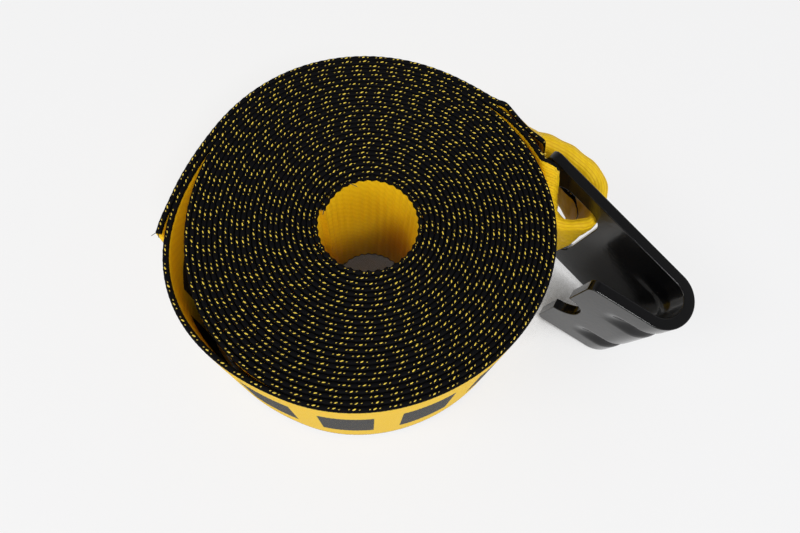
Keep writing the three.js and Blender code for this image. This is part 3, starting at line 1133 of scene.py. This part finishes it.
def loose_yarns(name, curves, material):
    """All loose yarns as one mesh."""
    points, faces = [], []
    for curve in curves:
        first = len(points)
        sides = ring_faces(len(curve), yarn_sides)
        faces += [tuple(first + i for i in side) for side in sides]
        points += tube(curve, yarn_radius)
    built = mesh_object(name, to_row(points), faces)
    built.data.materials.append(material)
    built.data.shade_smooth()
    point_outwards(built)
    return built


inner_corner = np.array((*wound_path[0], web_width - 0.4))
inner_way = unit(wound_path[0] - wound_path[3])
inner_way = np.array((inner_way[0], inner_way[1], 0.0))
into_bore = unit(np.array((*(-wound_path[0]), 0.0)))
stray_turned = inner_turned + 46
stray = on_roll(stray_turned, wrap_radius(stray_turned) - web_thickness)
cut = stations[-1]
cut_corner = cut.place(web_width / 2 - 0.4, -0.6)
cut_side = cut.place(web_width / 2 - 0.8, 0.3)
black_yarns = [
    curled(inner_corner + into_bore * 0.6, inner_way + 0.4 * into_bore, 2.6, 0.6, 0.5),
    curled(inner_corner - into_bore * 0.5, inner_way + (0, 0, 0.3), 1.9, 0.3, -0.4),
    curled(np.array((*stray, web_width + 0.1)), into_bore + (0, 0, 0.25), 4.6, 1.0, 0.7),
    curled(cut_corner, cut.way - cut.left, 2.6, 0.9, 0.4),
    curled(cut_side, cut.way, 1.8, 0.7, -0.3),
]
frayed = loose_yarns("loose_yarns", black_yarns, thread_material)
print("loose yarns:", len(black_yarns))

# %% [markdown]
# The hook is cut from flat steel plate and folded once, so it is made the same way here. A
# flat blank is drawn as a curve with its slot and notch, given its thickness and rounded
# edges, sliced where it has to bend, and then every point is moved by the folding formula.
# The two pressed ribs over the fold are one more term of that formula.

# %% Flat blank of the hook
slot_height = 56.0
tip_length = 32.7
tip_opening = math.radians(15.1)
plate_corner = 4.0
notch_width, notch_depth, notch_flat = 23.0, 10.5, 2.0
corner_steps, notch_steps = 7, 8
edge_round = 0.55
opening_left = math.pi - tip_opening
bend_middle = bend_inner + plate_thickness / 2
flat_length = bend_start - bar_offset
bend_length = bend_middle * opening_left
blank_length = flat_length + bend_length + tip_length


def arc_points(x, y, radius, first, sweep, steps):
    """Points of an arc round (x, y), from a first angle in degrees on through a sweep."""
    angles = [math.radians(first + sweep * i / steps) for i in range(steps + 1)]
    return [(x + radius * math.cos(a), y + radius * math.sin(a)) for a in angles]


def rounded_box(x0, y0, x1, y1, radius):
    """Corner points of a box with round corners, counter-clockwise."""
    left, right, low, high = x0 + radius, x1 - radius, y0 + radius, y1 - radius
    points = []
    for i, (x, y) in enumerate(((right, high), (left, high), (left, low), (right, low))):
        points += arc_points(x, y, radius, 90 * i, 90, corner_steps)
    return points


def notched_outline():
    """The blank's outside: a box with round corners and a notch in the tip's end."""
    r, end, top = plate_corner, blank_length - plate_corner, plate_height - plate_corner
    bottom = (notch_width - notch_flat) / 2
    notch_middle = blank_length - notch_depth + bottom
    below, above = middle_height - notch_flat / 2, middle_height + notch_flat / 2
    points = arc_points(r, top, r, 90, 90, corner_steps)
    points += arc_points(r, r, r, 180, 90, corner_steps)
    points += arc_points(end, r, r, 270, 90, corner_steps)
    points += arc_points(notch_middle, below, bottom, -90, -90, notch_steps)
    points += arc_points(notch_middle, above, bottom, 180, -90, notch_steps)
    return points + arc_points(end, top, r, 0, 90, corner_steps)


def add_outline(curve, points):
    """Adds a closed outline to a flat curve. A second one inside the first makes a hole."""
    line = curve.splines.new("POLY")
    line.points.add(len(points) - 1)
    for point, (x, y) in zip(line.points, points):
        point.co = (x, y, 0.0, 1.0)
    line.use_cyclic_u = True


def flat_blank():
    curve = bpy.data.curves.new("hook_blank", "CURVE")
    curve.dimensions = "2D"
    curve.fill_mode = "BOTH"
    curve.extrude = plate_thickness / 2 - edge_round
    curve.bevel_depth = edge_round
    curve.bevel_resolution = 2
    curve.offset = -edge_round
    add_outline(curve, notched_outline())
    low, high = middle_height - slot_height / 2, middle_height + slot_height / 2
    near, far = slot_start - bar_offset, slot_end - bar_offset
    add_outline(curve, rounded_box(near, low, far, high, slot_corner))
    blank = bpy.data.objects.new("hook_blank", curve)
    scene.collection.objects.link(blank)
    return blank


blank = plain_mesh(flat_blank(), "flat_hook_blank")
print("blank measures", [round(x, 2) for x in blank.dimensions], "mm")

# %% [markdown]
# A flat face bends only where it has edges, so the blank is sliced across the fold and along
# the ribs first. The folding formula knows three stretches: the straight plate, the bend and
# the tip. The pressed ribs are deepest over the bend and run out into the plate and the tip.

# %% Slice and fold the blank
rib_spacing = 39.0
rib_depth = 3.3
rib_half_width = 7.5
rib_run_out = 17.0
rib_inner_share = 0.3
rib_heights = (middle_height - rib_spacing / 2, middle_height + rib_spacing / 2)
bend_slices = 44
weld = 1e-4


def slice_across(shape, axis, places):
    """Cuts the faces of a mesh along planes across one axis."""
    normal = Vector((0, 0, 0))
    normal[axis] = 1.0
    for place in places:
        parts = shape.verts[:] + shape.edges[:] + shape.faces[:]
        plane = {"plane_co": normal * place, "plane_no": normal}
        bmesh.ops.bisect_plane(shape, geom=parts, dist=weld, **plane)


def rib_sink(s, v):
    """How far the pressed ribs push the plate inwards at this place of the blank."""
    past = max(flat_length - s, s - flat_length - bend_length, 0.0)
    run = 1.0 - float(smooth(past / rib_run_out))
    sink = 0.0
    for height in rib_heights:
        away = abs(v - height) / rib_half_width
        if away < 1.0:
            sink += rib_depth * run * (0.5 + 0.5 * math.cos(math.pi * away))
    return sink


def fold_point(s, v, depth):
    """Place of a point of the blank on the folded hook, depth measured from the outer face."""
    inner_share = rib_inner_share + (1 - rib_inner_share) * (1 - depth / plate_thickness)
    depth = depth + rib_sink(s, v) * inner_share
    if s <= flat_length:
        return hook_point(bar_offset + s, -depth, v)
    if s <= flat_length + bend_length:
        a = (s - flat_length) / bend_middle
        r = bend_outer - depth
        return hook_point(bend_start + r * math.sin(a), -bend_outer + r * math.cos(a), v)
    past = s - flat_length - bend_length
    cos, sin = math.cos(tip_opening), math.sin(tip_opening)
    u = bend_start + sin * (bend_outer - depth) - cos * past
    w = -bend_outer - cos * (bend_outer - depth) - sin * past
    return hook_point(u, w, v)


shape = bmesh.new()
shape.from_mesh(blank.data)
bmesh.ops.remove_doubles(shape, verts=shape.verts, dist=weld)
bend_places = flat_length + bend_length * np.arange(bend_slices + 1) / bend_slices
run_places = np.linspace(1, rib_run_out, 9)
slice_across(shape, 0, bend_places)
slice_across(shape, 0, bend_places[0] - run_places)
slice_across(shape, 0, bend_places[-1] + run_places)
for height in rib_heights:
    slice_across(shape, 1, height + np.linspace(-rib_half_width, rib_half_width, 15))
for vertex in shape.verts:
    s, v, z = vertex.co
    vertex.co = to_row(fold_point(s, v, plate_thickness / 2 - z))
bmesh.ops.recalc_face_normals(shape, faces=shape.faces)
shape.to_mesh(blank.data)
shape.free()
blank.data.shade_smooth()
weighted = blank.modifiers.new("weighted", "WEIGHTED_NORMAL")
weighted.weight = 100
hook = plain_mesh(blank, "folded_hook")
print("hook reaches", [round(x, 4) for x in hook.dimensions], "m")

# %% [markdown]
# The hook wears a gloss black paint. Paint levels out over steel but keeps a faint orange
# peel, and it is scuffed to a duller grey where the hook rubs. A clear coat over a dark base
# gives the hard reflections of the floor and the webbing.

# %% Hook paint
paint_black, paint_scuffed = (0.003, 0.003, 0.0035, 1.0), (0.07, 0.068, 0.065, 1.0)
scuff_from, speck_from = 0.66, 0.7


def build_paint():
    material, tree = new_material("gloss_black_paint")
    grain = group_node(tree, grain_group, Patch_Scale=30.0, Grain_Scale=900.0)
    scuffs = math_node(tree, "GREATER_THAN", grain["Patches"], scuff_from)
    speck = math_node(tree, "GREATER_THAN", grain["Grain"], speck_from)
    worn = math_node(tree, "MULTIPLY", scuffs, speck)
    rough = math_node(tree, "MULTIPLY_ADD", grain["Patches"], 0.14, 0.10)
    place = add_node(tree, "ShaderNodeTexCoord")
    orange_peel = {"Vector": place.outputs["Object"], "Scale": 420.0, "Detail": 1.0}
    peel = add_node(tree, "ShaderNodeTexNoise", orange_peel)
    return wear(material, {
        "Base Color": blend_colour(tree, worn, paint_black, paint_scuffed),
        "Roughness": math_node(tree, "MULTIPLY_ADD", worn, 0.3, rough),
        "Specular IOR Level": 0.36,
        "Coat Weight": 0.05,
        "Coat Roughness": 0.08,
        "Normal": bump(tree, peel.outputs["Fac"], 0.12, 0.0004),
    })


paint = build_paint()
hook.data.materials.clear()
hook.data.materials.append(paint)
print("hook paint ready")

# %% [markdown]
# The set is a plain pale floor that glows a little, like the lit table that small goods are
# photographed on, under one wide soft lamp and an even pale sky.

# %% Floor and sky
floor_half = 4.0
floor_gap = 0.0002
floor_glow = 0.70
shade_reach, shade_from, shade_span = 0.06, 0.2, 0.17
sky_low, sky_high = 1.0, 0.07
floor_base = (0.20, 0.20, 0.205, 1.0)
white = (1.0, 1.0, 1.0, 1.0)
floor_corners = ((-1, -1), (1, -1), (1, 1), (-1, 1))
floor_points = [(x * floor_half, y * floor_half, -floor_gap) for x, y in floor_corners]
floor = mesh_object("floor", floor_points, [(0, 1, 2, 3)])


def build_floor_material():
    """A pale table that glows where it is open, and is shaded where walls stand all round."""
    material, tree = new_material("pale_floor")
    reach = {"Distance": shade_reach}
    # Painted shade: ambient occlusion dims the floor's glow where walls stand all round.
    around = add_node(tree, "ShaderNodeAmbientOcclusion", reach, samples=12)
    openness = math_node(tree, "SUBTRACT", around.outputs["AO"], shade_from)
    openness = math_node(tree, "MULTIPLY", openness, 1.0 / shade_span)
    openness = math_node(tree, "MAXIMUM", math_node(tree, "MINIMUM", openness, 1.0), 0.0)
    return wear(material, {
        "Base Color": floor_base,
        "Roughness": 0.9,
        "Specular IOR Level": 0.0,
        "Emission Color": white,
        "Emission Strength": math_node(tree, "MULTIPLY", openness, floor_glow),
    })


floor.data.materials.append(build_floor_material())


def build_sky():
    """A pale sky that is bright low down and dim overhead, as in a room with white walls."""
    world = bpy.data.worlds.new("pale_sky")
    world.use_nodes = True
    tree = world.node_tree
    place = add_node(tree, "ShaderNodeTexCoord")
    split = add_node(tree, "ShaderNodeSeparateXYZ", {0: place.outputs["Generated"]})
    height = math_node(tree, "MAXIMUM", split.outputs["Z"], 0.0)
    strength = math_node(tree, "MULTIPLY_ADD", height, sky_high - sky_low, sky_low)
    feed(tree, tree.nodes["Background"].inputs["Strength"], strength)
    feed(tree, tree.nodes["Background"].inputs["Color"], white)
    return world


scene.world = build_sky()
print("floor and sky ready")

# %% [markdown]
# Two round lamps give the soft shadow and the long pale streaks on the hook's paint. The key
# stands in front and high up, and a weaker fill on the left opens the shadows of the roll.

# %% Lamps
lamp_aim = (0, 0, 0.03)


def soft_lamp(name, place, aim, size, power):
    """A round area lamp that points at its aim."""
    data = bpy.data.lights.new(name, "AREA")
    data.shape = "DISK"
    data.size = size
    data.energy = power
    lamp = bpy.data.objects.new(name, data)
    lamp.location = place
    lamp.rotation_euler = (Vector(aim) - Vector(place)).to_track_quat("-Z", "Y").to_euler()
    scene.collection.objects.link(lamp)
    return lamp


soft_lamp("key", (0.45, -1.0, 2.0), lamp_aim, 0.7, 30.0)
soft_lamp("fill", (-1.3, -0.6, 1.6), lamp_aim, 0.8, 10.0)
print("lamps ready")

# %% [markdown]
# Last, every piece is attached to the body that carries it, and the model's own webbing and hook
# are hidden. The webbing is one rigid body in the model and the hook swings in the eye, so
# nothing has to bend.

# %% Bodies, and the model's own parts hidden
web_pieces = [wound_roll, outer_web, top_floats, bottom_floats, outer_rim_floats]
web_pieces += [stitching, frayed]
for piece in web_pieces:
    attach(piece, "strap")
for piece in (wound_roll, outer_web):
    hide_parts("webbing_strap")
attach(hook, "hook")
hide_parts("flat_hook")
